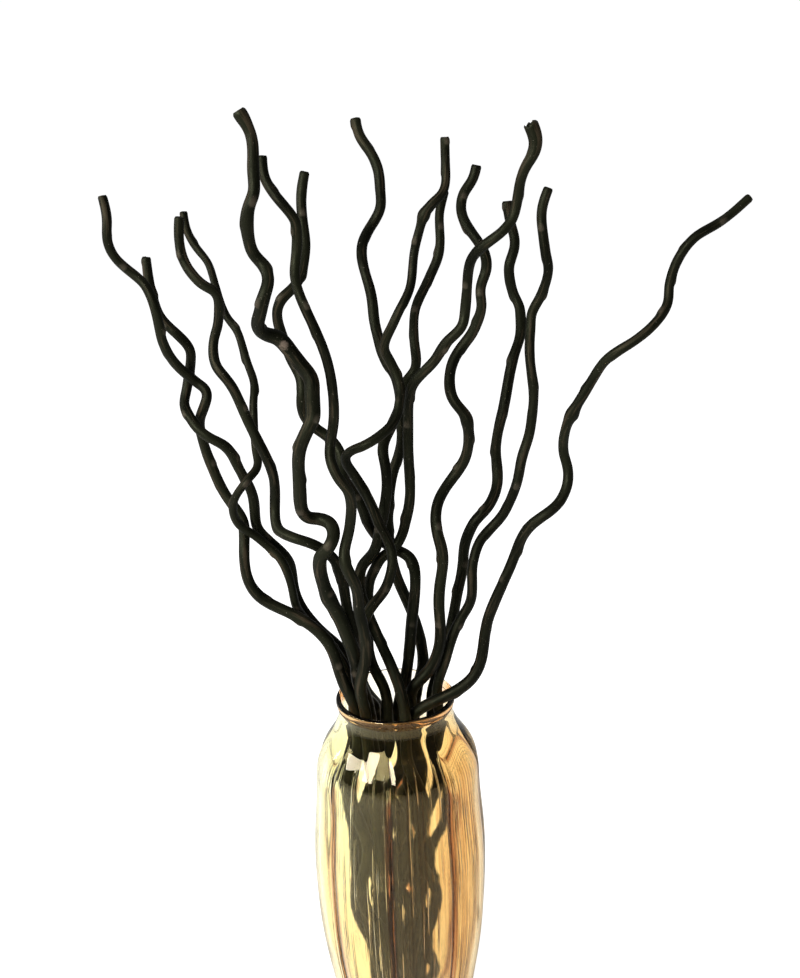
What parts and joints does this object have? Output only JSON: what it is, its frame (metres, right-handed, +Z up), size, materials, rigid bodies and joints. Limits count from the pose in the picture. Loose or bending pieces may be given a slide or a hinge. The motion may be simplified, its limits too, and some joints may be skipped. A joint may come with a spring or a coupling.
{
  "type": "curly willow stems in a vase",
  "caption": "Bunch of dark curly willow stems fanning out of a lobed amber glass vase with a short flared lip.",
  "frame": {"origin": "middle of the vase's flat underside, on the surface it stands on", "axes": "+Z up along the vase's axis, -Y towards the front of the arrangement, +X to the right seen from the front"},
  "size_m": [0.4117, 0.1949, 0.7126],
  "materials": {
    "dyed_bark": "near-black dyed willow bark, satin, with faint brown and olive streaks, bud scars and pale specks",
    "amber_glass": "clear blown glass with an amber lustre, pale yellow to orange, with eight upright lobes and fine upright streaks"
  },
  "bodies": {
    "root": {"vase": "amber_glass", "stem_01": "dyed_bark", "stem_02": "dyed_bark", "stem_03": "dyed_bark", "stem_04": "dyed_bark", "stem_05": "dyed_bark", "stem_06": "dyed_bark", "stem_07": "dyed_bark", "stem_08": "dyed_bark", "stem_09": "dyed_bark", "stem_10": "dyed_bark", "stem_11": "dyed_bark", "stem_12": "dyed_bark", "stem_13": "dyed_bark", "stem_14": "dyed_bark", "stem_15": "dyed_bark"}
  },
  "joints": []
}
